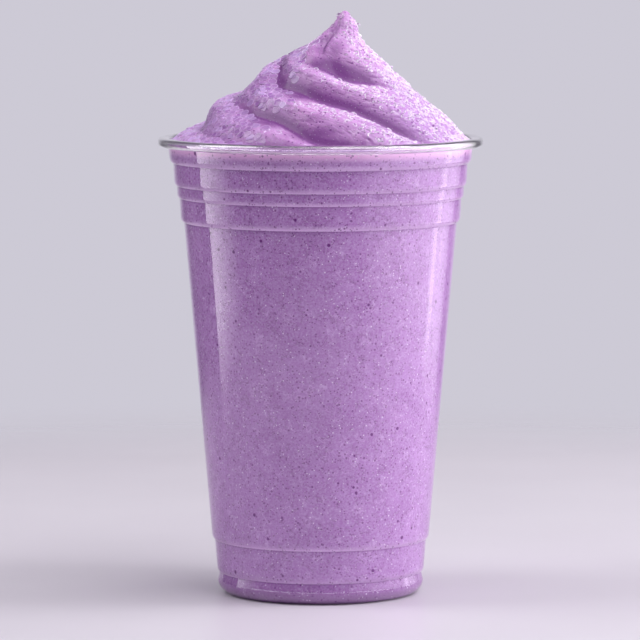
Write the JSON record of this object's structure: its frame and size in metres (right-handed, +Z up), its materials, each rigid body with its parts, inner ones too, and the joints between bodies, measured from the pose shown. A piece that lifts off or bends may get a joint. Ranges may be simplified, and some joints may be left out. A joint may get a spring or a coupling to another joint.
{
  "type": "taro slush drink in a clear cup",
  "caption": "Blended taro slush that fills a clear disposable cup and is heaped above its rolled rim in a piped swirl with a leaning peak.",
  "frame": {"origin": "centre of the foot, on the surface that the cup stands on", "axes": "+Z up the cup's axis; -Y is the shown front; the swirl's peak leans towards +X"},
  "size_m": [0.098, 0.098, 0.1758],
  "materials": {
    "clear_plastic": "clear thermoformed PET sheet, glossy and colourless",
    "taro_slush": "wet lavender blended ice, bumpy with fine ice crystals and tiny dark specks"
  },
  "bodies": {
    "root": {"cup": "clear_plastic", "taro_slush": "taro_slush"}
  },
  "joints": []
}
